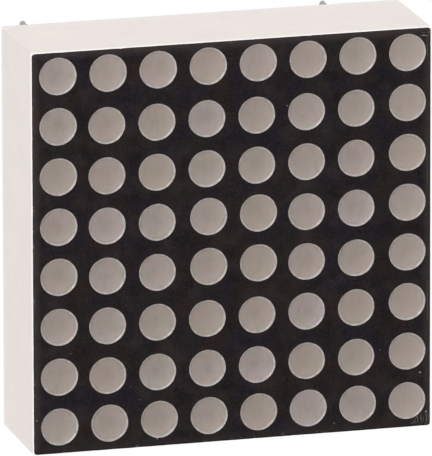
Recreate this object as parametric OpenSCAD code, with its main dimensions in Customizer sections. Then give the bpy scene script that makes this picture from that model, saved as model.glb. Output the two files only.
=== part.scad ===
// Two-colour LED dot-matrix display module, 8 x 8 dots, with two columns of 12 pins.
// The face looks along -Y and the pins leave along +Y. The module stands on its lower
// side, and the origin lies on that surface, below the middle of the whole depth.

/* [Body] */
// Distance between the centres of neighbouring dots
pitch = 4; // [3.8:0.1:5]
// How far each side of the face reaches past the dots' own field
face_margin = 0.01; // [0:0.01:0.5]
// How far each side spreads outward from the face to the rear rim
draft = 0.035; // [0:0.005:0.2]
// Depth of the housing from its black face to its rear rim
body_depth = 9.1; // [7.5:0.1:12]
// Radius of the housing's four long edges
corner_r = 0.15; // [0.1:0.05:0.6]
// Radius of the edges round the housing's face
edge_r = 0.04; // [0.02:0.01:0.2]
// Thickness of the wall round the rear recess, at the rim
wall_t = 0.6; // [0.5:0.05:0.9]
// Radius of the rear recess's corners
recess_r = 0.6; // [0.3:0.1:1.2]
// Depth of the open step between the rear rim and the resin
rim_step = 0.6; // [0.3:0.1:1.2]

/* [Black face] */
// Thickness of the black film on the face
mask_t = 0.1; // [0.05:0.05:0.3]
// Width of the slope round the film
mask_slope_w = 0.35; // [0.1:0.05:0.4]
// Drop of the slope round the film
mask_slope_h = 0.05; // [0.01:0.01:0.05]

/* [Dots] */
// Diameter of each dot at the face
dot_d = 3; // [2.4:0.1:3.4]
// Depth of the shallow hollow that the cured resin leaves in each dot
dish_h = 0.2; // [0.05:0.05:0.3]
// Width of the flat rim round the hollow
dish_rim = 0.05; // [0.03:0.01:0.2]
// Diameter of each dot's well where it meets the circuit board
well_d = 2; // [1.9:0.05:2.2]
// Sideways offset of the wells in the outer ring and the middle four
ring_shift_x = 0.095; // [-0.1:0.005:0.1]
// Upward offset of the wells in the outer ring and the middle four
ring_shift_z = 0.09; // [-0.1:0.005:0.1]
// Sideways offset of the wells in the two rings between
field_shift_x = -0.035; // [-0.1:0.005:0.1]
// Upward offset of the wells in the two rings between
field_shift_z = -0.08; // [-0.1:0.005:0.1]

/* [Chips] */
// Side of each square light-emitting chip
chip_w = 0.28; // [0.2:0.01:0.3]
// Height of each chip above the board
chip_h = 0.25; // [0.15:0.01:0.3]
// Gap between the red and the green chip of a dot
chip_gap = 0.16; // [0.1:0.01:0.2]
// Thickness of the bond wires, which have a square section
wire_t = 0.03; // [0.02:0.005:0.05]
// Distance that each bond wire spans, from the chip's centre to its pad's centre
wire_span = 0.5; // [0.48:0.01:0.52]
// Side of the square pad that a bond wire ends on
bond_pad_w = 0.26; // [0.2:0.01:0.26]
// Margin of the pad under the two chips, past their edges
die_pad_margin = 0.08; // [0.04:0.01:0.08]

/* [Circuit board] */
// Thickness of the circuit board
board_t = 1.2; // [0.8:0.1:1.6]
// Clearance between the circuit board and the recess's wall
board_gap = 0.05; // [0.02:0.01:0.1]
// Thickness of the copper, which lies level with the board's faces
copper_t = 0.035; // [0.02:0.005:0.07]
// Depth of clear resin behind the circuit board
resin_t = 1.3; // [1:0.1:1.8]

/* [Pins] */
// Diameter of each pin, over its tin
pin_d = 0.6; // [0.4:0.05:0.7]
// Thickness of the tin, which covers only the pin's free length behind the resin
tin_t = 0.01; // [0.005:0.001:0.02]
// Distance between neighbouring pins of a column
pin_pitch = 2.54; // [2.2:0.01:2.6]
// Distance of each pin column inward from the outermost column of dots
pin_inset = 1.8; // [1.7:0.05:2.1]
// Length of each pin behind the rear rim
pin_reach = 8.4; // [3:0.1:12]
// Width of the chamfer round each pin's free end
pin_chamfer = 0.1; // [0.04:0.01:0.15]
// Clearance between a pin and its hole in the board, filled with solder
pin_gap = 0.2; // [0.18:0.01:0.22]
// Radius of the solder's hollow flank
solder_r = 0.4; // [0.3:0.01:0.5]
// Thickness of the solder's rim, where it meets its pad and its pin
solder_rim = 0.05; // [0.03:0.01:0.08]
// Width of the copper ring left bare round each solder joint
ring_margin = 0.08; // [0.04:0.01:0.1]

/* [Hidden] */
$fn = 64;
wire_fn = 32;
dots = 8;
column_pins = 12;

// Square outline
face_w = dots * pitch + 2 * face_margin;
rear_w = face_w + 2 * draft;
recess_w = rear_w - 2 * wall_t;
board_w = recess_w - 2 * board_gap;
mask_w = face_w - 2 * edge_r;
centre_z = rear_w / 2;

// Ball that the hollow of each dot is cut with
dish_r = dot_d / 2 - dish_rim;
dish_ball_r = (dish_r * dish_r + dish_h * dish_h) / (2 * dish_h);

// Planes from the black face back to the pins' ends
face_y = -(body_depth + pin_reach) / 2;
deck_y = face_y + mask_t;
rim_y = face_y + body_depth;
resin_y = rim_y - rim_step;
rear_copper_y = resin_y - resin_t;
board_y = rear_copper_y - board_t;
tip_y = rim_y + pin_reach;

// Places inside a dot, from its centre: red to the left and green to the right
RED = -1;
GREEN = 1;
chip_x = (chip_gap + chip_w) / 2;
bond_pad_x = chip_x + wire_span;
die_pad_w = chip_gap + 2 * chip_w + 2 * die_pad_margin;
die_pad_h = chip_w + 2 * die_pad_margin;

// Pins and their solder
pin_x = (dots - 1) / 2 * pitch - pin_inset;
core_r = pin_d / 2 - tin_t;
hole_r = core_r + pin_gap;
solder_foot_r = core_r + solder_rim + solder_r;
pin_pad_r = solder_foot_r + ring_margin;

// Overshoot of a cutting shape past the face that it cuts
cut = 1;

function step(n, count, gap) = ((count + 1) / 2 - n) * gap;
function row_z(row) = centre_z + step(row, dots, pitch);
function col_x(col) = -step(col, dots, pitch);
function ring_of(row, col) = min(row - 1, dots - row, col - 1, dots - col);
function in_ring_group(row, col) = ring_of(row, col) == 0 || ring_of(row, col) == dots / 2 - 1;
function well_shift(row, col) =
    in_ring_group(row, col) ? [ring_shift_x, 0, ring_shift_z] : [field_shift_x, 0, field_shift_z];

// Pins run down the left column and back up the right one, as seen from the face
function pin_side(pin) = pin <= column_pins ? -1 : 1;
function pin_step(pin) = pin <= column_pins ? pin : 2 * column_pins + 1 - pin;
function pin_place(pin) =
    [pin_side(pin) * pin_x, 0, centre_z + step(pin_step(pin), column_pins, pin_pitch)];

// ---- Helpers ----

// Extrudes an outline, drawn as seen from the face, from one depth to another
module slab(front, back) {
    translate([0, back, centre_z]) rotate([90, 0, 0]) linear_extrude(back - front) children();
}

// Turns a profile of radius against height into a solid that rises from a depth toward the face
module turned_from(y) {
    translate([0, y, 0]) rotate([90, 0, 0]) rotate_extrude() children();
}

// Square with rounded corners
module rounded_square(w, r) {
    square([w, w - 2 * r], center = true);
    square([w - 2 * r, w], center = true);
    for (x = [-1, 1], y = [-1, 1]) translate([x, y] * (w / 2 - r)) circle(r);
}

// Cuts a block to the same section, drawn in plan, across its width and across its height
module both_ways(section_w) {
    intersection() {
        children(0);
        translate([0, 0, centre_z]) linear_extrude(section_w, center = true) children(1);
        translate([0, 0, centre_z]) rotate([0, 90, 0])
            linear_extrude(section_w, center = true) children(1);
    }
}

// Section of the housing, which widens from its rounded face to the rear rim
module housing_section() {
    flat = face_w / 2 - edge_r;
    shoulder_y = deck_y + edge_r;
    polygon([
        [-flat, deck_y], [flat, deck_y], [face_w / 2, shoulder_y],
        [rear_w / 2, rim_y], [-rear_w / 2, rim_y], [-face_w / 2, shoulder_y]
    ]);
    for (side = [-1, 1]) translate([side * flat, shoulder_y]) circle(edge_r);
}

// Section of the black film, which slopes back round its edge
module mask_section() {
    flat = mask_w / 2 - mask_slope_w;
    slope_y = face_y + mask_slope_h;
    polygon([
        [-flat, face_y], [flat, face_y], [mask_w / 2, slope_y],
        [mask_w / 2, deck_y], [-mask_w / 2, deck_y], [-mask_w / 2, slope_y]
    ]);
}

// Puts its children at the centre of each dot in a row
module at_row(row) {
    for (col = [1:dots]) translate([col_x(col), 0, row_z(row)]) children();
}

// Puts its children at the centre of each well in a row
module at_wells(row) {
    for (col = [1:dots]) translate([col_x(col), 0, row_z(row)] + well_shift(row, col)) children();
}

module at_pins(first, last) {
    for (pin = [first:last]) translate(pin_place(pin)) children();
}

// ---- Dots ----

// Round opening through the black face, and the tapered well behind it
module well() {
    deck_h = board_y - deck_y;
    turned_from(board_y) polygon([
        [0, 0], [well_d / 2, 0], [dot_d / 2, deck_h], [dot_d / 2, deck_h + mask_t], [0, deck_h + mask_t]
    ]);
}

// Ball that leaves a shallow hollow in the dot's face
module dish() {
    translate([0, face_y + dish_h - dish_ball_r, 0]) sphere(dish_ball_r);
}

module chip(side) {
    translate([side * chip_x, board_y - chip_h / 2, 0]) cube([chip_w, chip_h, chip_w], center = true);
}

// Wire that loops from the top of a chip down to its pad
module bond_wire(side) {
    translate([side * (chip_x + bond_pad_x) / 2, board_y - chip_h, 0])
        linear_extrude(wire_t, center = true) {
            difference() {
                circle(d = wire_span + wire_t, $fn = wire_fn);
                circle(d = wire_span - wire_t, $fn = wire_fn);
                translate([-wire_span, 0]) square([2 * wire_span, wire_span]);
            }
            translate([(side * wire_span - wire_t) / 2, 0]) square([wire_t, chip_h]);
        }
}

// Copper under a dot: one pad for both chips and one for each wire
module chip_pad_outline() {
    square([die_pad_w, die_pad_h], center = true);
    for (side = [RED, GREEN]) translate([side * bond_pad_x, 0]) square(bond_pad_w, center = true);
}

// ---- Pieces ----

module reflector_housing() {
    color("ivory") difference() {
        both_ways(rear_w) {
            slab(deck_y, rim_y) rounded_square(rear_w, corner_r);
            housing_section();
        }
        slab(board_y, rim_y + cut) rounded_square(recess_w, recess_r);
        for (row = [1:dots]) at_wells(row) well();
    }
}

module black_face() {
    color("#2a2323") difference() {
        both_ways(mask_w) {
            slab(face_y, deck_y) rounded_square(mask_w, corner_r);
            mask_section();
        }
        for (row = [1:dots]) at_wells(row) well();
    }
}

module dot_lenses(row) {
    color("#9f958f") difference() {
        at_wells(row) well();
        at_wells(row) dish();
        at_row(row) for (side = [RED, GREEN]) {
            chip(side);
            bond_wire(side);
        }
    }
}

module red_chips(row) {
    color("firebrick") at_row(row) chip(RED);
}

module green_chips(row) {
    color("olivedrab") at_row(row) chip(GREEN);
}

module bond_wires(side) {
    color("gold") for (row = [1:dots]) at_row(row) bond_wire(side);
}

module chip_pads() {
    color("darkgoldenrod") for (row = [1:dots], col = [1:dots])
        slab(board_y, board_y + copper_t)
            translate([col_x(col), row_z(row) - centre_z]) chip_pad_outline();
}

module circuit_board() {
    color("seagreen") difference() {
        slab(board_y, rear_copper_y) rounded_square(board_w, recess_r);
        chip_pads();
        pin_pads();
        at_pins(1, 2 * column_pins)
            translate([0, board_y - cut, 0]) rotate([-90, 0, 0]) cylinder(h = board_t + 2 * cut, r = hole_r);
    }
}

// Copper rings round the pins, level with the board's rear face
module pin_pads() {
    color("darkgoldenrod") at_pins(1, 2 * column_pins)
        turned_from(rear_copper_y) translate([hole_r, 0]) square([pin_pad_r - hole_r, copper_t]);
}

// Solder that fills the hole round a pin and climbs the pin behind the board
module solder_joint() {
    turned_from(rear_copper_y) translate([core_r, 0]) square([pin_gap, board_t]);
    mirror([0, 1, 0]) turned_from(-rear_copper_y) difference() {
        translate([core_r, 0]) square(solder_rim + solder_r);
        translate([solder_foot_r, solder_rim + solder_r]) circle(solder_r);
    }
}

module solder_left() {
    color("silver") at_pins(1, column_pins) solder_joint();
}

module solder_right() {
    color("silver") at_pins(column_pins + 1, 2 * column_pins) solder_joint();
}

// Clear resin that covers the board and its solder
module rear_resin() {
    color("honeydew") difference() {
        slab(rear_copper_y, resin_y) rounded_square(recess_w, recess_r);
        at_pins(1, 2 * column_pins) {
            solder_joint();
            pin_body();
        }
    }
}

// Round pin from its chamfered end to the board's front face, tinned as far as the resin
module pin_body() {
    tinned_l = tip_y - resin_y;
    pin_l = tip_y - board_y;
    turned_from(tip_y) polygon([
        [0, 0], [pin_d / 2 - pin_chamfer, 0], [pin_d / 2, pin_chamfer], [pin_d / 2, tinned_l],
        [core_r, tinned_l], [core_r, pin_l], [0, pin_l]
    ]);
}

module pin(number) {
    color("lightgrey") translate(pin_place(number)) pin_body();
}

reflector_housing();
black_face();
for (row = [1:dots]) {
    dot_lenses(row);
    red_chips(row);
    green_chips(row);
}
bond_wires(RED);  // red_bond_wires
bond_wires(GREEN);  // green_bond_wires
chip_pads();
circuit_board();
pin_pads();
solder_left();
solder_right();
rear_resin();
for (number = [1:2 * column_pins]) {
    pin(number);
}
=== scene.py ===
"""LED dot-matrix display module: finer face, dots and board, materials, light and camera."""

import math
import random

import bmesh
import bpy
from mathutils import Matrix, Vector, noise


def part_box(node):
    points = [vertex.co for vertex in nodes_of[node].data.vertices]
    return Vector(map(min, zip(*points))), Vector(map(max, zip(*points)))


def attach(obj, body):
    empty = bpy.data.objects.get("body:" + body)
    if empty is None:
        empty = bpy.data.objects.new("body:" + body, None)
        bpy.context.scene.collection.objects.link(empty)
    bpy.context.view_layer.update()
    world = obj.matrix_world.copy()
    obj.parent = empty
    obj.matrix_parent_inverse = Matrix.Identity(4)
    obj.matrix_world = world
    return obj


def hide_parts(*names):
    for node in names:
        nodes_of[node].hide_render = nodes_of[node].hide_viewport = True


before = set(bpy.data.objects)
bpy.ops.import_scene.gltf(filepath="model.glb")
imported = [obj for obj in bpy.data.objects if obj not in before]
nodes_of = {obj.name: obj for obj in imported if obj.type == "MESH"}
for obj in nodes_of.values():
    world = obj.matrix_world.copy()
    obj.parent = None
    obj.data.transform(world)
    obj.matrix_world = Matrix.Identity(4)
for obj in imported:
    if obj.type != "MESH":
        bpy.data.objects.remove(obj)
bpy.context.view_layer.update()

MM = 0.001

# ---- Sizes shared with the part's source, in millimetres ----
DOTS = 8
PITCH = 4.0
DOT_R = 1.5
DISH_H = 0.2
DISH_RIM = 0.05
WELL_R = 1.0
PINS_A_SIDE = 12
RING_SHIFT = (0.095, 0.09)
FIELD_SHIFT = (-0.035, -0.08)
SLOPE_W = 0.35
SLOPE_H = 0.05
CORNER_R = 0.15
DRAFT = 0.035

film_lo, film_hi = (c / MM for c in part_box("black_face"))
board_lo, board_hi = (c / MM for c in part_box("circuit_board"))
FACE_Y = film_lo.y
DECK_Y = film_hi.y
FILM_HALF = film_hi.x
CENTRE_Z = (film_lo.z + film_hi.z) / 2
housing_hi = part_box("reflector_housing")[1] / MM
RIM_Y = housing_hi.y
REAR_HALF = housing_hi.x

# ---- Fine form that is too small for the part's source, in millimetres ----
# Points on each side of a dot's cell, and rings of faces from its opening to its outline
SIDE_POINTS = 24
FILM_RINGS = 7
FILM_CORNER_R = 0.22
# Rounded edge of the film's openings, and how uneven their radius is
OPENING_ROUND = 0.025
OPENING_WOBBLE = 0.016
# How much smaller than the dots the openings are, in the shifted rings and in the others
RING_TRIM = 0.021
FIELD_TRIM = 0.036
# How uneven the film's outer edge is, how deep it is chipped and how far it runs at the bottom
EDGE_WOBBLE = 0.012
EDGE_NOTCH = 0.5
LOWER_RUN = 0.08
# Width of the browner ink round each dot
DOT_HALO = 0.6
# Painted sheen: a paler band along the film's sloping edge: its plain part, its whole fade, and its
# share at the bottom
SHEEN_PLAIN = 0.2
SHEEN_FADE = 0.5
SHEEN_AT_BOTTOM = 0.45
WORN_EDGE_W = 0.12
# Painted highlight: a bright line behind the housing's face; painted glow: paler plastic in front of
# its rear rim
FRONT_HIGHLIGHT = (0.12, 0.4)
REAR_GLOW = 1.5
# Lip of resin at each dot's rim, and how far the resin reaches into the film
LIP_W = 0.12
LIP_H = 0.02
RIM_DEPTH = 0.6 * OPENING_ROUND
RESIN_OVERLAP = 0.004
LENS_RINGS = (0.12, 0.24, 0.36, 0.48, 0.6, 0.7, 0.78, 0.84, 0.88, 0.91, 0.93, 0.95, 0.97, 0.985, 1.0)
# Marks on the film
MARK_RISE = 0.004
GRAIN_SIDES = 9
GRAIN_SEED = 31
LINE_STEPS = 10
LINE_BLUNT = 0.04
LINE_SEED = 7
# Tracks and vias on the board's rear face; profiles are shares of width or radius, and of height
TRACK_W = 0.3
TRACK_H = 0.03
TRACK_START = 0.7
TRACK_BEND = 0.6
TRACK_PROFILE = ((-0.5, 0.0), (-0.42, 1.0), (0.42, 1.0), (0.5, 0.0))
VIA_R = 0.32
VIA_SIDES = 20
VIA_PROFILE = ((1.0, 0.0), (0.94, 1.0), (0.5, 1.0), (0.38, 0.2))
FIRST_VIA = 3.0
VIA_STEP = 1.3

# ---- Camera ----
CAM_FROM_FACE = Vector((-248.41, -903.75, 248.83))
CAM_RIGHT = Vector((0.96444, -0.26428, -0.00221))
CAM_DOWN = Vector((-0.06961, -0.24594, -0.96678))
CAM_FOCAL_PX = 12514.1
SENSOR_MM = 36.0
IMAGE_LONG_PX = 456

# ---- Stage, in metres and watts ----
FLOOR_SIZE = 4.0
FLOOR_DROP = 0.00002
WORLD_STRENGTH = 0.42
LAMP_AIM = (0.0, 0.0, 0.016)
# Each lamp's place, size and power
LAMPS = {
    "key": ((-0.594, -0.767, 0.55), 0.5, 10.75),
    "top": ((0.1, -0.1, 1.0), 0.6, 0.32),
    "back": ((0.5, 0.9, 0.12), 0.2, 2.5),
}


# ======== Shader helpers ========


class Graph:
    """Short hand for building one node material or world."""

    def __init__(self, tree):
        self.tree = tree
        self.tree.nodes.clear()

    def add(self, kind, ins=None, **props):
        n = self.tree.nodes.new(kind)
        for key, value in props.items():
            setattr(n, key, value)
        for key, value in (ins or {}).items():
            socket = n.inputs[key]
            if isinstance(value, bpy.types.NodeSocket):
                self.tree.links.new(value, socket)
            else:
                socket.default_value = value
        return n

    def math(self, op, a, b=0.0):
        return self.add("ShaderNodeMath", {0: a, 1: b}, operation=op).outputs[0]

    def mix(self, factor, a, b):
        n = self.add("ShaderNodeMix", data_type="RGBA", clamp_factor=True)
        for socket, value in ((n.inputs[0], factor), (n.inputs[6], a), (n.inputs[7], b)):
            if isinstance(value, bpy.types.NodeSocket):
                self.tree.links.new(value, socket)
            else:
                socket.default_value = value
        return n.outputs[2]

    def span(self, value, lo, hi, to_lo=0.0, to_hi=1.0, smooth=False):
        kind = "SMOOTHSTEP" if smooth else "LINEAR"
        n = self.add(
            "ShaderNodeMapRange",
            {0: value, 1: lo, 2: hi, 3: to_lo, 4: to_hi},
            interpolation_type=kind,
        )
        return n.outputs[0]

    def place(self, scale=(1, 1, 1), offset=(0, 0, 0), turn=(0, 0, 0)):
        """Object coordinates in millimetres, moved, turned and scaled."""
        coord = self.add("ShaderNodeTexCoord").outputs["Object"]
        mm = self.add("ShaderNodeVectorMath", {0: coord, "Scale": 1 / MM}, operation="SCALE")
        return self.add(
            "ShaderNodeMapping",
            {"Vector": mm.outputs[0], "Scale": scale, "Location": offset, "Rotation": turn},
        ).outputs[0]

    def noise(self, scale, detail=3.0, rough=0.5, where=None):
        where = where or self.place()
        ins = {"Vector": where, "Scale": scale, "Detail": detail, "Roughness": rough}
        return self.add("ShaderNodeTexNoise", ins).outputs["Fac"]

    def attribute(self, name):
        return self.add("ShaderNodeAttribute", attribute_name=name).outputs["Fac"]

    def bump(self, height, depth_mm, strength=1.0, normal=None):
        ins = {"Height": height, "Distance": depth_mm * MM, "Strength": strength}
        if normal is not None:
            ins["Normal"] = normal
        return self.add("ShaderNodeBump", ins).outputs[0]


def srgb(r, g, b):
    """Linear colour of an 8-bit one."""
    levels = [c / 255 for c in (r, g, b)]
    return tuple(c / 12.92 if c < 0.04 else ((c + 0.055) / 1.055) ** 2.4 for c in levels) + (1.0,)


def material(name, build, **constants):
    """New material: build(graph) gives the linked inputs of its Principled shader."""
    m = bpy.data.materials.new(name)
    m.use_nodes = True
    g = Graph(m.node_tree)
    shader = g.add("ShaderNodeBsdfPrincipled", {k.replace("_", " "): v for k, v in constants.items()})
    for key, value in build(g).items():
        g.tree.links.new(value, shader.inputs[key])
    out = g.add("ShaderNodeOutputMaterial")
    g.tree.links.new(shader.outputs[0], out.inputs[0])
    return m


# ======== Materials ========


def housing_look(g):
    """Pale moulded plastic: faint warm clouds, fine texture, a painted highlight behind the face,
    painted shade on the rounded corners, a painted glow near the rear rim.
    """
    cloud = g.noise(0.16, 3, 0.55)
    patch = g.noise(0.7, 2, 0.5, g.place(offset=(4, 19, 6)))
    grain = g.noise(9.0, 4, 0.6)
    warm = g.mix(g.span(cloud, 0.35, 0.65), srgb(243, 234, 229), srgb(247, 237, 231))
    cool = g.mix(g.span(patch, 0.4, 0.7, 0.0, 0.6), warm, srgb(240, 233, 231))
    speck = g.span(g.noise(3.2, 2, 0.5), 0.72, 0.8)
    colour = g.mix(g.math("MULTIPLY", speck, 0.25), cool, srgb(205, 196, 188))
    split = g.add("ShaderNodeSeparateXYZ", {0: g.place(offset=(0, 0, -CENTRE_Z))})
    half = g.span(split.outputs[1], DECK_Y, RIM_Y, REAR_HALF - DRAFT, REAR_HALF)
    across, up = (g.math("ABSOLUTE", split.outputs[axis]) for axis in (0, 2))
    from_edge = g.math("SUBTRACT", half, g.math("MINIMUM", across, up))
    # Painted shade darkens the rounded corner between two sides, most at the middle of the round
    middle_of_round = CORNER_R * (1 - math.cos(math.pi / 4))
    painted_corner_shade = g.span(from_edge, middle_of_round, CORNER_R, 0.34, 0.0)
    colour = g.mix(painted_corner_shade, colour, srgb(206, 196, 190))
    # Painted glow: paler plastic colour towards the rear rim
    painted_rear_glow = g.span(split.outputs[1], RIM_Y - REAR_GLOW, RIM_Y, 0.0, 0.6)
    colour = g.mix(painted_rear_glow, colour, srgb(245, 240, 240))
    # Painted highlight: a near-white strip on the sides just behind the face
    line_lo, line_hi = (DECK_Y + depth for depth in FRONT_HIGHLIGHT)
    painted_front_highlight = g.span(split.outputs[1], line_lo, line_hi, 1.0, 0.0, smooth=True)
    colour = g.mix(painted_front_highlight, colour, srgb(255, 252, 250))
    rough = g.span(g.noise(1.3, 3, 0.6), 0.3, 0.7, 0.5, 0.65)
    return {"Base Color": colour, "Roughness": rough, "Normal": g.bump(grain, 0.012, 0.5)}


def film_look(g):
    """Black ink: brown, blue and green clouds, smears, grain, dust, a painted sheen along the edge,
    pale worn spots at its very rim.
    """
    cloud = g.noise(0.35, 2, 0.5)
    patch = g.noise(0.9, 3, 0.6, g.place(offset=(31, 7, 3)))
    brown, blue = srgb(32, 23, 21), srgb(24, 20, 29)
    base = g.mix(g.span(cloud, 0.37, 0.6, smooth=True), brown, blue)
    base = g.mix(g.span(patch, 0.46, 0.66, 0.0, 0.9), base, srgb(15, 12, 14))
    green = g.span(g.noise(0.5, 2, 0.5, g.place(offset=(21, 16, 2))), 0.5, 0.66, 0.0, 0.7)
    base = g.mix(green, base, srgb(27, 27, 24))
    smear = g.span(g.noise(0.6, 3, 0.6, g.place(offset=(12, 5, 23))), 0.5, 0.7, 0.0, 0.75)
    base = g.mix(smear, base, srgb(44, 37, 38))
    base = g.mix(g.math("MULTIPLY", g.attribute("near_dot"), 0.4), base, srgb(38, 28, 25))
    grain = g.noise(5.5, 2, 0.6, g.place(offset=(2, 8, 40)))
    base = g.mix(g.span(grain, 0.56, 0.72, 0.0, 0.7), base, srgb(49, 42, 42))
    base = g.mix(g.span(grain, 0.44, 0.28, 0.0, 0.7), base, srgb(13, 9, 11))
    uneven = g.span(g.noise(1.5, 3, 0.6), 0.3, 0.7, 0.5, 1.0)
    # Painted sheen: a paler, uneven band along the film's sloping edge
    painted_sheen = g.math("MULTIPLY", g.attribute("painted_edge_sheen"), uneven)
    base = g.mix(painted_sheen, base, srgb(56, 48, 47))
    dust = g.span(g.noise(6.5, 1, 0.4, g.place(offset=(3, 11, 5))), 0.81, 0.85)
    base = g.mix(g.math("MULTIPLY", dust, 0.5), base, srgb(120, 112, 108))
    worn = g.span(g.noise(2.6, 4, 0.7, g.place(offset=(17, 2, 9))), 0.6, 0.7)
    worn = g.math("MULTIPLY", g.attribute("rim_edge"), worn)
    base = g.mix(worn, base, srgb(150, 143, 140))
    rough = g.span(g.noise(2.0, 4, 0.6), 0.3, 0.7, 0.42, 0.6)
    fine = g.noise(14.0, 3, 0.6)
    wave = g.noise(0.9, 2, 0.5)
    lift = g.bump(wave, 0.02, 0.4)
    return {"Base Color": base, "Roughness": rough, "Normal": g.bump(fine, 0.006, 0.5, lift)}


def mark_look(dark, light):
    """Small worn or raised spot, mottled between two colours."""

    def build(g):
        base = g.mix(g.span(g.noise(9.0, 3, 0.6), 0.35, 0.65), dark, light)
        rough = g.span(g.noise(15.0, 2, 0.5), 0.3, 0.7, 0.45, 0.7)
        relief = g.bump(g.noise(24.0, 2, 0.5), 0.004, 0.5)
        return {"Base Color": base, "Roughness": rough, "Normal": relief}

    return build


def lens_look(g):
    """Milky resin: painted shade at the middle, olive and rosy patches, a broken painted highlight at
    the rim, a tint a dot.
    """
    radius = g.attribute("from_centre")
    tint = g.attribute("dot_tint")
    # Painted shade: darker at the middle of each dot and lighter towards its rim
    centre = g.mix(tint, srgb(142, 131, 123), srgb(145, 129, 125))
    outer = g.mix(tint, srgb(162, 154, 149), srgb(165, 153, 151))
    body = g.mix(g.span(radius, 0.1, 0.9), centre, outer)
    cloud = g.noise(0.8, 4, 0.65, g.place(scale=(1.0, 1.0, 0.6)))
    body = g.mix(g.span(cloud, 0.35, 0.7, 0.0, 0.7), body, srgb(161, 151, 147))
    olive = g.noise(0.95, 2, 0.5, g.place(offset=(14, 3, 2)))
    body = g.mix(g.span(olive, 0.5, 0.7, 0.0, 0.6), body, srgb(142, 140, 126))
    rosy = g.noise(0.95, 2, 0.5, g.place(offset=(8, 6, 17)))
    body = g.mix(g.span(rosy, 0.5, 0.7, 0.0, 0.6), body, srgb(164, 143, 143))
    streak = g.noise(2.6, 3, 0.6, g.place(scale=(1.0, 1.0, 0.35), offset=(7, 2, 1), turn=(0, 0.3, 0)))
    body = g.mix(g.span(streak, 0.5, 0.72, 0.0, 0.4), body, srgb(136, 125, 119))
    body = g.mix(g.math("MULTIPLY", g.attribute("dot_warmth"), 0.5), body, srgb(154, 140, 125))
    stain = g.span(g.noise(2.4, 4, 0.7, g.place(offset=(5, 3, 8))), 0.62, 0.74, 0.0, 0.35)
    body = g.mix(stain, body, srgb(132, 120, 114))
    bubble = g.span(g.noise(5.5, 1, 0.4, g.place(offset=(9, 1, 4))), 0.78, 0.82, 0.0, 0.5)
    body = g.mix(bubble, body, srgb(190, 184, 179))
    body = g.mix(g.math("MULTIPLY", g.attribute("dot_glow"), 0.085), body, srgb(196, 180, 176))
    arc = g.math("MULTIPLY", g.span(radius, 0.82, 0.86), g.span(radius, 0.9, 0.86))
    part = g.span(g.noise(0.9, 2, 0.5, g.place(offset=(6, 12, 7))), 0.5, 0.62, 0.0, 0.5)
    body = g.mix(g.math("MULTIPLY", arc, part), body, srgb(122, 112, 108))
    # Painted highlight: a broken pale ring just inside each dot's rim
    broken = g.span(g.noise(2.4, 3, 0.7, g.place(offset=(1, 4, 11))), 0.42, 0.6, 0.25, 0.95)
    painted_rim_highlight = g.math("MULTIPLY", g.span(radius, 0.9, 0.93, smooth=True), broken)
    body = g.mix(painted_rim_highlight, body, srgb(188, 181, 180))
    rough = g.span(g.noise(3.0, 3, 0.6), 0.3, 0.7, 0.26, 0.4)
    at_rim = g.span(radius, 0.9, 0.93)
    rough = g.math("SUBTRACT", rough, g.math("MULTIPLY", at_rim, 0.18))
    wave = g.bump(g.noise(1.6, 3, 0.6), 0.02, 0.35)
    crinkle = g.bump(g.math("MULTIPLY", g.noise(4.5, 3, 0.7), at_rim), 0.06, 0.6, wave)
    return {"Base Color": body, "Roughness": rough, "Normal": crinkle}


def board_look(g):
    """Green solder resist over laminate."""
    cloud = g.noise(0.4, 3, 0.6)
    cloth = {"Vector": g.place(), "Scale": 1.6, "Distortion": 1.0}
    weave = g.add("ShaderNodeTexWave", cloth).outputs["Fac"]
    base = g.mix(g.span(cloud, 0.3, 0.7), srgb(26, 92, 52), srgb(34, 108, 62))
    base = g.mix(g.math("MULTIPLY", weave, 0.15), base, srgb(58, 128, 80))
    rough = g.span(g.noise(4.0, 3, 0.6), 0.3, 0.7, 0.25, 0.4)
    return {"Base Color": base, "Roughness": rough, "Normal": g.bump(g.noise(5.0, 3, 0.6), 0.01, 0.4)}


def track_look(g):
    """Copper under solder resist, a lighter green than the bare laminate."""
    cloud = g.noise(1.5, 3, 0.6)
    base = g.mix(g.span(cloud, 0.3, 0.7), srgb(62, 134, 74), srgb(80, 150, 86))
    rough = g.span(g.noise(4.0, 3, 0.6), 0.3, 0.7, 0.25, 0.4)
    return {"Base Color": base, "Roughness": rough, "Normal": g.bump(g.noise(7.0, 2, 0.5), 0.006, 0.4)}


def metal_look(dark, light, rough_lo, rough_hi, along=(1, 1, 1), depth=0.006):
    """Metal whose colour, gloss and fine relief vary; along stretches the grain."""

    def build(g):
        cloud = g.noise(1.8, 4, 0.6, g.place(scale=along))
        grain = g.noise(11.0, 3, 0.6, g.place(scale=along))
        base = g.mix(g.span(cloud, 0.3, 0.7), dark, light)
        stain = g.span(g.noise(4.5, 3, 0.6, g.place(offset=(2, 9, 4))), 0.62, 0.75, 0.0, 0.5)
        base = g.mix(stain, base, tuple(0.45 * c for c in dark[:3]) + (1.0,))
        rough = g.span(g.noise(5.0, 3, 0.6), 0.3, 0.7, rough_lo, rough_hi)
        return {"Base Color": base, "Roughness": rough, "Normal": g.bump(grain, depth, 0.6)}

    return build


def chip_look(dark, light):
    """Sawn crystal, mottled between two colours."""

    def build(g):
        base = g.mix(g.span(g.noise(6.0, 3, 0.6), 0.3, 0.7), dark, light)
        rough = g.span(g.noise(20.0, 2, 0.5), 0.3, 0.7, 0.15, 0.35)
        relief = g.bump(g.noise(30.0, 2, 0.5), 0.003, 0.5)
        return {"Base Color": base, "Roughness": rough, "Normal": relief}

    return build


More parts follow.
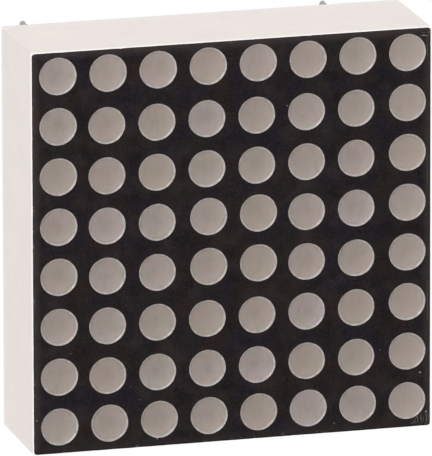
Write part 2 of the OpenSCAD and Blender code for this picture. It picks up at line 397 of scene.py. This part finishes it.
def clear_resin_look(g):
    """Clear potting resin, a little cloudy, with bubbles and a slightly wavy surface."""
    cloud = g.noise(0.3, 3, 0.6)
    base = g.mix(g.span(cloud, 0.3, 0.7), srgb(122, 124, 112), srgb(150, 150, 138))
    bubble = g.span(g.noise(3.4, 1, 0.4), 0.76, 0.8)
    base = g.mix(bubble, base, srgb(232, 234, 226))
    rough = g.span(g.noise(0.8, 3, 0.6), 0.3, 0.7, 0.06, 0.16)
    haze = g.math("ADD", g.span(cloud, 0.3, 0.7, 0.1, 0.2), g.math("MULTIPLY", bubble, 0.4))
    wave = g.bump(g.noise(0.35, 2, 0.4), 0.25, 0.35)
    return {"Base Color": base, "Roughness": rough, "Alpha": haze, "Normal": wave}


LOOKS = {
    "housing": material("moulded_plastic", housing_look, IOR=1.46, Specular_IOR_Level=0.4),
    "film": material("black_ink", film_look, IOR=1.45, Specular_IOR_Level=0.1),
    "bare": material("chipped_plastic", mark_look(srgb(196, 188, 182), srgb(240, 232, 226))),
    "bump": material("inked_bump", mark_look(srgb(62, 56, 56), srgb(112, 104, 102))),
    "scratched": material("scratched_ink", mark_look(srgb(96, 88, 84), srgb(158, 150, 144))),
    "scuffed": material("scuffed_ink", mark_look(srgb(52, 49, 46), srgb(104, 99, 95))),
    "lens": material(
        "milky_resin",
        lens_look,
        IOR=1.5,
        Specular_IOR_Level=0.35,
        Subsurface_Weight=0.25,
        Subsurface_Scale=0.0006,
        Subsurface_Radius=(1.0, 0.8, 0.65),
    ),
    "board": material("solder_resist", board_look, IOR=1.5),
    "track": material("resist_on_copper", track_look, IOR=1.5),
    "red_chip": material("red_crystal", chip_look(srgb(110, 40, 34), srgb(168, 74, 52))),
    "green_chip": material("green_crystal", chip_look(srgb(150, 142, 60), srgb(190, 180, 96))),
    "gold": material(
        "plated_gold", metal_look(srgb(196, 150, 78), srgb(226, 186, 110), 0.22, 0.4), Metallic=1.0
    ),
    "solder": material(
        "solder",
        metal_look(srgb(168, 170, 172), srgb(208, 210, 212), 0.18, 0.36, depth=0.02),
        Metallic=1.0,
    ),
    "pin": material(
        "tinned_wire",
        metal_look(srgb(146, 144, 143), srgb(182, 180, 178), 0.24, 0.42, along=(1, 0.15, 1)),
        Metallic=1.0,
    ),
    "clear": material("potting_resin", clear_resin_look, IOR=2.0),
}


def wear(obj, look):
    """Gives an object one material for its whole surface."""
    obj.data.materials.clear()
    obj.data.materials.append(LOOKS[look])


# ======== Mesh helpers ========


def new_piece(name, bm, look, stands_for=()):
    """Turns a bmesh in millimetres into a smooth piece that rides on the part."""
    bmesh.ops.scale(bm, vec=(MM, MM, MM), verts=bm.verts)
    mesh = bpy.data.meshes.new(name)
    bm.to_mesh(mesh)
    bm.free()
    obj = bpy.data.objects.new(name, mesh)
    bpy.context.scene.collection.objects.link(obj)
    for face in mesh.polygons:
        face.use_smooth = True
    wear(obj, look)
    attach(obj, "root")
    if stands_for:
        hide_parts(*stands_for)


def dot_lattice(row, col):
    """Centre of a dot's cell, as seen from the face: right and up from the face's centre."""
    return Vector(((col - (DOTS + 1) / 2) * PITCH, ((DOTS + 1) / 2 - row) * PITCH))


def in_ring_group(row, col):
    """Whether a dot is in the outer ring or one of the middle four."""
    return min(row - 1, DOTS - row, col - 1, DOTS - col) in (0, DOTS // 2 - 1)


def dot_centre(row, col):
    """Centre of a dot's well, which lies a little off its cell's centre."""
    shift = RING_SHIFT if in_ring_group(row, col) else FIELD_SHIFT
    return dot_lattice(row, col) + Vector(shift)


def opening_r(row, col, angle):
    """Radius of a dot's slightly uneven opening at an angle."""
    across, up = 1.7 * math.cos(angle) + 13.1 * col, 1.7 * math.sin(angle) + 7.3 * row
    seed = Vector((across, up, 0.4 * row * col))
    wobble = OPENING_WOBBLE * (noise.noise(seed) + 0.5 * noise.noise(3.1 * seed))
    return DOT_R - (RING_TRIM if in_ring_group(row, col) else FIELD_TRIM) + wobble


def film_depth(x, z):
    """Depth of the film's surface behind the face: flat, then sloping back near its edge."""
    past = max(abs(x), abs(z)) - (FILM_HALF - SLOPE_W)
    return SLOPE_H * min(max(past / SLOPE_W, 0.0), 1.0)


def film_outline(x, z):
    """Moves a point on the square outline in to the rounded corner and the uneven ink edge."""
    inner = FILM_HALF - FILM_CORNER_R
    near = Vector((max(-inner, min(inner, x)), max(-inner, min(inner, z))))
    out = Vector((x, z)) - near
    if out.length > FILM_CORNER_R:
        out = out.normalized() * FILM_CORNER_R
    here = Vector((1.3 * x, 1.3 * z, 2.0))
    chip = max(0.0, noise.noise(1.9 * here) - 0.42) * max(0.0, noise.noise(0.35 * here) + 0.1)
    wobble = EDGE_WOBBLE * (noise.noise(here) - 0.6) - EDGE_NOTCH * chip
    run = Vector((0, -LOWER_RUN)) if z < -inner else Vector((0, 0))
    return near + out * (1 + wobble / FILM_CORNER_R) + run


def cell_outline(row, col):
    """Points round a dot's cell; neighbouring cells share those on their common side."""
    lattice = dot_lattice(row, col)
    half = PITCH / 2
    lo = [max(c - half, -FILM_HALF) for c in lattice]
    hi = [min(c + half, FILM_HALF) for c in lattice]
    corners = [(hi[0], lo[1]), (hi[0], hi[1]), (lo[0], hi[1]), (lo[0], lo[1])]
    points = []
    for k, start in enumerate(corners):
        end = corners[(k + 1) % 4]
        for i in range(SIDE_POINTS):
            share = (1 + math.tan((i / SIDE_POINTS - 0.5) * math.pi / 2)) / 2
            x = start[0] + (end[0] - start[0]) * share
            z = start[1] + (end[1] - start[1]) * share
            on_edge = max(abs(x), abs(z)) > FILM_HALF - 1e-6
            points.append((film_outline(x, z) if on_edge else Vector((x, z)), on_edge))
    return points


def bridge(bm, first, second, closed=True):
    """Quads between two loops of vertices with the same count."""
    count = len(first)
    for i in range(count if closed else count - 1):
        j = (i + 1) % count
        quad = [first[i], first[j], second[j], second[i]]
        if len(set(quad)) == 4:
            bm.faces.new(quad)


# ======== Black film with 64 round openings ========


def build_film():
    """Film cell by cell: the rounded edge of its opening, its front, and a flat back."""
    bm = bmesh.new()
    painted_sheen = bm.verts.layers.float.new("painted_edge_sheen")
    edge = bm.verts.layers.float.new("rim_edge")
    near = bm.verts.layers.float.new("near_dot")

    def vertex(x, z, depth, near_dot=0.0):
        v = bm.verts.new((x, FACE_Y + depth, CENTRE_Z + z))
        v[near] = near_dot
        past = FILM_HALF - max(abs(x), abs(z))
        # Painted sheen along the film's edge, weaker along the bottom
        lower = SHEEN_AT_BOTTOM if -z > abs(x) else 1.0
        v[painted_sheen] = lower * min(max(1 - (past - SHEEN_PLAIN) / SHEEN_FADE, 0.0), 1.0)
        v[edge] = min(max(1 - past / WORN_EDGE_W, 0.0), 1.0)
        return v

    thickness = DECK_Y - FACE_Y
    for row in range(1, DOTS + 1):
        for col in range(1, DOTS + 1):
            centre = dot_centre(row, col)
            outline = cell_outline(row, col)
            loops = []
            for step in range(4):
                turn = step / 3 * math.pi / 2
                loop = []
                for point, _ in outline:
                    way = (point - centre).normalized()
                    r = opening_r(row, col, math.atan2(way.y, way.x))
                    r += OPENING_ROUND * (1 - math.cos(turn)) if step else 0.0
                    p = centre + way * r
                    depth = OPENING_ROUND * (1 - math.sin(turn))
                    loop.append(vertex(p.x, p.y, depth + film_depth(p.x, p.y), 1.0))
                loops.append(loop)
            inner = [Vector((v.co.x, v.co.z - CENTRE_Z)) for v in loops[-1]]
            for step in range(1, FILM_RINGS + 1):
                share = (step / FILM_RINGS) ** 1.3
                loop = []
                for (point, _), start in zip(outline, inner):
                    p = start.lerp(point, share)
                    near_dot = max(0.0, 1 - (p - start).length / DOT_HALO)
                    loop.append(vertex(p.x, p.y, film_depth(p.x, p.y), near_dot))
                loops.append(loop)
            back_hole = [vertex(v.co.x, v.co.z - CENTRE_Z, thickness) for v in loops[0]]
            back_outline = [vertex(p.x, p.y, thickness) for p, _ in outline]
            loops.insert(0, back_hole)
            for first, second in zip(loops, loops[1:]):
                bridge(bm, first, second)
            bridge(bm, back_outline, back_hole)
            on_edge = [flag for _, flag in outline]
            for i in range(len(outline)):
                j = (i + 1) % len(outline)
                if on_edge[i] and on_edge[j]:
                    bm.faces.new([loops[-1][i], loops[-1][j], back_outline[j], back_outline[i]])
    bmesh.ops.remove_doubles(bm, verts=bm.verts, dist=1e-4)
    bmesh.ops.recalc_face_normals(bm, faces=bm.faces)
    new_piece("film", bm, "film", ["black_face"])


# ======== Wear on the face ========

# Pale flecks where the ink is chipped: right and up from the face's centre, and size
FLECKS = (
    (-7.2, -9.2, 0.08),
    (-4.8, -10.9, 0.06),
    (-6.1, -15.45, 0.07),
    (15.15, -11.7, 0.09),
    (15.65, -14.9, 0.08),
    (-15.75, -13.3, 0.06),
    (-15.93, -14.3, 0.05),
    (14.9, -15.3, 0.05),
)
# Bumps under the ink
BUMPS = (
    (4.4, 10.5, 0.14),
    (8.5, 1.3, 0.08),
    (-13.0, -8.1, 0.09),
    (11.9, -9.65, 0.1),
    (8.2, -15.3, 0.1),
    (-7.5, -12.2, 0.09),
    (-8.2, -11.1, 0.07),
    (-7.6, -13.0, 0.06),
    (2.9, -6.6, 0.06),
    (-1.4, 4.6, 0.06),
)
# Scratches down to the plastic: start, end and width
SCRATCHES = (
    ((15.12, 15.36), (15.78, 15.34), 0.095),
    ((15.84, 15.75), (15.85, 15.4), 0.04),
    ((15.66, 15.2), (15.68, 14.3), 0.02),
    ((15.72, 14.6), (15.72, 13.6), 0.018),
    ((15.74, -4.0), (15.75, -7.5), 0.014),
    ((15.68, 6.0), (15.7, 3.2), 0.014),
)
# Softer scuffs, in the same form
SCUFFS = (
    ((15.15, 15.58), (15.6, 15.57), 0.04),
    ((14.77, -15.25), (14.74, -15.8), 0.05),
    ((14.98, -15.1), (15.0, -15.85), 0.07),
    ((15.27, -15.0), (15.23, -15.8), 0.09),
    ((15.43, -15.2), (15.42, -15.75), 0.05),
    ((15.62, -14.85), (15.68, -15.8), 0.1),
    ((15.81, -15.0), (15.81, -15.8), 0.05),
    ((14.4, -15.8), (14.85, -15.72), 0.06),
    ((14.5, -15.55), (14.9, -15.66), 0.04),
)


def place_mark(x, z, rise):
    """Point at a height above the film."""
    return (x, FACE_Y + film_depth(x, z) - rise, CENTRE_Z + z)


def build_grains(name, grains, look, dome):
    """Small uneven domes that stand on the face."""
    bm = bmesh.new()
    for number, (x, z, size) in enumerate(grains):
        rng = random.Random(number + GRAIN_SEED)
        spokes = [0.5 * size * rng.uniform(0.75, 1.2) for _ in range(GRAIN_SIDES)]
        top = bm.verts.new(place_mark(x, z, MARK_RISE + dome * size))
        loops = []
        for share, rise in ((0.55, 0.75), (1.0, 0.0), (1.0, -0.5)):
            ring = []
            for k, spoke in enumerate(spokes):
                a = 2 * math.pi * k / GRAIN_SIDES
                reach = share * spoke
                here = (x + reach * math.cos(a), z + reach * math.sin(a))
                ring.append(bm.verts.new(place_mark(*here, MARK_RISE + dome * size * rise)))
            loops.append(ring)
        for k in range(GRAIN_SIDES):
            bm.faces.new([top, loops[0][k], loops[0][(k + 1) % GRAIN_SIDES]])
        for first, second in zip(loops, loops[1:]):
            bridge(bm, first, second)
        bm.faces.new(loops[-1])
    bmesh.ops.recalc_face_normals(bm, faces=bm.faces)
    new_piece(name, bm, look)


def build_lines(name, lines, look):
    """Thin pale lines with pointed ends, each a low ridge."""
    bm = bmesh.new()
    for number, (start, end, width) in enumerate(lines):
        rng = random.Random(number + LINE_SEED)
        start, end = Vector(start), Vector(end)
        side = (end - start).normalized().orthogonal()
        rails = [[], [], []]
        for k in range(LINE_STEPS + 1):
            share = k / LINE_STEPS
            taper = math.sin(math.pi * min(max(share, LINE_BLUNT), 1 - LINE_BLUNT)) ** 0.5
            half = 0.5 * width * taper * rng.uniform(0.7, 1.2)
            middle = start.lerp(end, share) + side * width * 0.4 * math.sin(5 * share + number)
            for rail, offset, rise in zip(rails, (-half, 0.0, half), (0.0, MARK_RISE, 0.0)):
                here = middle + side * offset
                rail.append(bm.verts.new(place_mark(here.x, here.y, MARK_RISE / 2 + rise)))
        bridge(bm, rails[0], rails[1], closed=False)
        bridge(bm, rails[1], rails[2], closed=False)
        bridge(bm, rails[2], rails[0], closed=False)
    bmesh.ops.recalc_face_normals(bm, faces=bm.faces)
    new_piece(name, bm, look)


# ======== Dots: dished resin with a low lip at the rim ========


def resin_depth(reach, r):
    """Depth of the resin's surface behind its rim, at a reach from the dot's centre."""
    ball_r = ((DOT_R - DISH_RIM) ** 2 + DISH_H**2) / (2 * DISH_H)
    cap = DISH_H - ball_r + math.sqrt(ball_r**2 - reach**2)
    rise = max(0.0, 1 - (r - reach) / LIP_W)
    return cap + LIP_H * (1 - rise**2)


def edge_glow(row, col):
    """Light that reaches a dot through the housing's nearest side: most at the right and the top."""
    return (col == DOTS) + 0.8 * (row == 1) + 0.3 * (row == DOTS)


def build_dot_row(row):
    """Eight dots: each a dished front, a straight side in the film and a taper down to the board."""
    bm = bmesh.new()
    radius = bm.verts.layers.float.new("from_centre")
    tint = bm.verts.layers.float.new("dot_tint")
    warmth = bm.verts.layers.float.new("dot_warmth")
    glow = bm.verts.layers.float.new("dot_glow")
    points = 4 * SIDE_POINTS
    for col in range(1, DOTS + 1):
        rng = random.Random(100 * row + col)
        dot_tint, dot_warmth = rng.random(), rng.random()
        centre = dot_centre(row, col)
        uneven = rng.uniform(0.9, 1.1)

        def vertex(x, z, y, share):
            v = bm.verts.new((x, y, CENTRE_Z + z))
            v[radius], v[tint], v[warmth], v[glow] = share, dot_tint, dot_warmth, edge_glow(row, col)
            return v

        loops = []
        for share in LENS_RINGS:
            loop = []
            for k in range(points):
                a = 2 * math.pi * k / points
                r = opening_r(row, col, a) + RESIN_OVERLAP
                x, z = centre.x + share * r * math.cos(a), centre.y + share * r * math.sin(a)
                y = FACE_Y + RIM_DEPTH + resin_depth(share * r, r) * uneven + film_depth(x, z)
                loop.append(vertex(x, z, y, share))
            loops.append(loop)
        for r, y in ((DOT_R, DECK_Y), (WELL_R, board_lo.y)):
            loop = []
            for k in range(points):
                a = 2 * math.pi * k / points
                loop.append(vertex(centre.x + r * math.cos(a), centre.y + r * math.sin(a), y, 1.0))
            loops.append(loop)
        middle_y = FACE_Y + RIM_DEPTH + (DISH_H + LIP_H) * uneven
        middle = vertex(centre.x, centre.y, middle_y, 0.0)
        for k in range(points):
            bm.faces.new([middle, loops[0][k], loops[0][(k + 1) % points]])
        for first, second in zip(loops, loops[1:]):
            bridge(bm, first, second)
        bm.faces.new(loops[-1])
    bmesh.ops.recalc_face_normals(bm, faces=bm.faces)
    new_piece(f"dots_row_{row}", bm, "lens", [f"dot_lenses_row_{row}"])


build_film()
build_grains("flecks", FLECKS, "bare", 0.15)
build_grains("bumps", BUMPS, "bump", 0.35)
build_lines("scratches", SCRATCHES, "scratched")
build_lines("scuffs", SCUFFS, "scuffed")
for dot_row in range(1, DOTS + 1):
    build_dot_row(dot_row)

# ======== Tracks on the board's rear face, seen through the clear resin ========


def track_line(bm, points, width):
    """Flat strip with a low raised profile that follows a few points on the board's rear face."""
    rows = []
    for k, point in enumerate(points):
        before, after = points[max(k - 1, 0)], points[min(k + 1, len(points) - 1)]
        side = (after - before).normalized().orthogonal()
        row = []
        for offset, rise in TRACK_PROFILE:
            here = point + side * offset * width
            row.append(bm.verts.new((here.x, board_hi.y + rise * TRACK_H, CENTRE_Z + here.y)))
        rows.append(row)
    for first, second in zip(rows, rows[1:]):
        bridge(bm, first, second, closed=False)


def via(bm, centre):
    """Round land with a dimple in the middle, where a track changes side."""
    loops = []
    for share, rise in VIA_PROFILE:
        loop = []
        for k in range(VIA_SIDES):
            a = 2 * math.pi * k / VIA_SIDES
            here = centre + VIA_R * share * Vector((math.cos(a), math.sin(a)))
            loop.append(bm.verts.new((here.x, board_hi.y + rise * TRACK_H, CENTRE_Z + here.y)))
        loops.append(loop)
    for first, second in zip(loops, loops[1:]):
        bridge(bm, first, second)
    bm.faces.new(loops[-1])


def build_tracks():
    """One track from each pin to a via; the vias of each column form two slants."""
    bm = bmesh.new()
    for pin in range(1, 2 * PINS_A_SIDE + 1):
        lo, hi = (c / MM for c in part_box(f"pin_{pin}"))
        start = Vector(((lo.x + hi.x) / 2, (lo.z + hi.z) / 2 - CENTRE_Z))
        inward = -1 if start.x > 0 else 1
        step = (pin - 1) % PINS_A_SIDE
        reach = FIRST_VIA + VIA_STEP * min(step, PINS_A_SIDE - 1 - step)
        bend = start + Vector((inward * (reach - TRACK_BEND), 0))
        end = start + Vector((inward * reach, TRACK_BEND if start.y < 0 else -TRACK_BEND))
        track_line(bm, [start + Vector((inward * TRACK_START, 0)), bend, end], TRACK_W)
        via(bm, end)
    bmesh.ops.recalc_face_normals(bm, faces=bm.faces)
    new_piece("board_tracks", bm, "track")


build_tracks()

# ======== Looks of the carried-over CAD nodes ========

BY_PREFIX = {
    "reflector_housing": "housing",
    "black_face": "film",
    "dot_lenses": "lens",
    "red_chips": "red_chip",
    "green_chips": "green_chip",
    "red_bond_wires": "gold",
    "green_bond_wires": "gold",
    "chip_pads": "gold",
    "circuit_board": "board",
    "pin_pads": "gold",
    "solder": "solder",
    "rear_resin": "clear",
    "pin_": "pin",
}
for node_name, node_obj in nodes_of.items():
    prefix = next(p for p in BY_PREFIX if node_name.startswith(p))
    wear(node_obj, BY_PREFIX[prefix])

# ======== Floor, light and camera ========


def light_path_is_seen(g):
    """1 for camera, mirror and see-through rays, 0 for light that falls on surfaces."""
    path = g.add("ShaderNodeLightPath")
    seen = g.math("MAXIMUM", path.outputs["Is Camera Ray"], path.outputs["Is Glossy Ray"])
    return g.math("MAXIMUM", seen, path.outputs["Is Transmission Ray"])


def build_floor():
    """Grey paper that looks white to the camera but keeps the object's shadow."""
    bm = bmesh.new()
    bmesh.ops.create_grid(bm, x_segments=8, y_segments=8, size=FLOOR_SIZE)
    mesh = bpy.data.meshes.new("floor")
    bm.to_mesh(mesh)
    bm.free()
    floor = bpy.data.objects.new("floor", mesh)
    floor.location.z = -FLOOR_DROP
    bpy.context.scene.collection.objects.link(floor)
    m = bpy.data.materials.new("floor_paper")
    m.use_nodes = True
    g = Graph(m.node_tree)
    paper = g.add("ShaderNodeBsdfDiffuse", {"Color": (0.42, 0.42, 0.42, 1.0)})
    glow = g.add("ShaderNodeEmission", {"Color": (1, 1, 1, 1), "Strength": 1.12})
    both = g.add(
        "ShaderNodeMixShader",
        {0: g.math("MULTIPLY", light_path_is_seen(g), 0.85), 1: paper.outputs[0], 2: glow.outputs[0]},
    )
    out = g.add("ShaderNodeOutputMaterial")
    g.tree.links.new(both.outputs[0], out.inputs[0])
    mesh.materials.append(m)


def build_world():
    """White to the camera, and dimmer as a light."""
    world = bpy.data.worlds.new("studio")
    world.use_nodes = True
    bpy.context.scene.world = world
    g = Graph(world.node_tree)
    level = g.span(light_path_is_seen(g), 0.0, 1.0, WORLD_STRENGTH, 1.0)
    back = g.add("ShaderNodeBackground", {"Color": (1.0, 1.0, 1.0, 1.0), "Strength": level})
    out = g.add("ShaderNodeOutputWorld")
    g.tree.links.new(back.outputs[0], out.inputs[0])


def soft_lamp(name, where, size, power):
    """Square lamp that points at the object."""
    data = bpy.data.lights.new(name, "AREA")
    data.shape = "SQUARE"
    data.size = size
    data.energy = power
    lamp = bpy.data.objects.new(name, data)
    bpy.context.scene.collection.objects.link(lamp)
    lamp.location = where
    lamp.visible_camera = False
    lamp.rotation_mode = "QUATERNION"
    lamp.rotation_quaternion = (Vector(LAMP_AIM) - Vector(where)).to_track_quat("-Z", "Y")


build_floor()
build_world()
for lamp_name, (lamp_place, lamp_size, lamp_power) in LAMPS.items():
    soft_lamp(lamp_name, lamp_place, lamp_size, lamp_power)


def build_camera():
    """Long lens whose place and turn were fitted to the object's lattice of dots."""
    data = bpy.data.cameras.new("camera")
    data.sensor_width = SENSOR_MM
    data.lens = CAM_FOCAL_PX * SENSOR_MM / IMAGE_LONG_PX
    data.clip_start, data.clip_end = 0.05, 50.0
    camera = bpy.data.objects.new("camera", data)
    bpy.context.scene.collection.objects.link(camera)
    right, up = CAM_RIGHT.normalized(), -CAM_DOWN.normalized()
    back = right.cross(up).normalized()
    turn = Matrix((right, back.cross(right), back)).transposed().to_4x4()
    where = (CAM_FROM_FACE + Vector((0, FACE_Y, CENTRE_Z))) * MM
    camera.matrix_world = Matrix.Translation(where) @ turn
    bpy.context.scene.camera = camera


build_camera()
bpy.context.scene.view_settings.view_transform = "Standard"
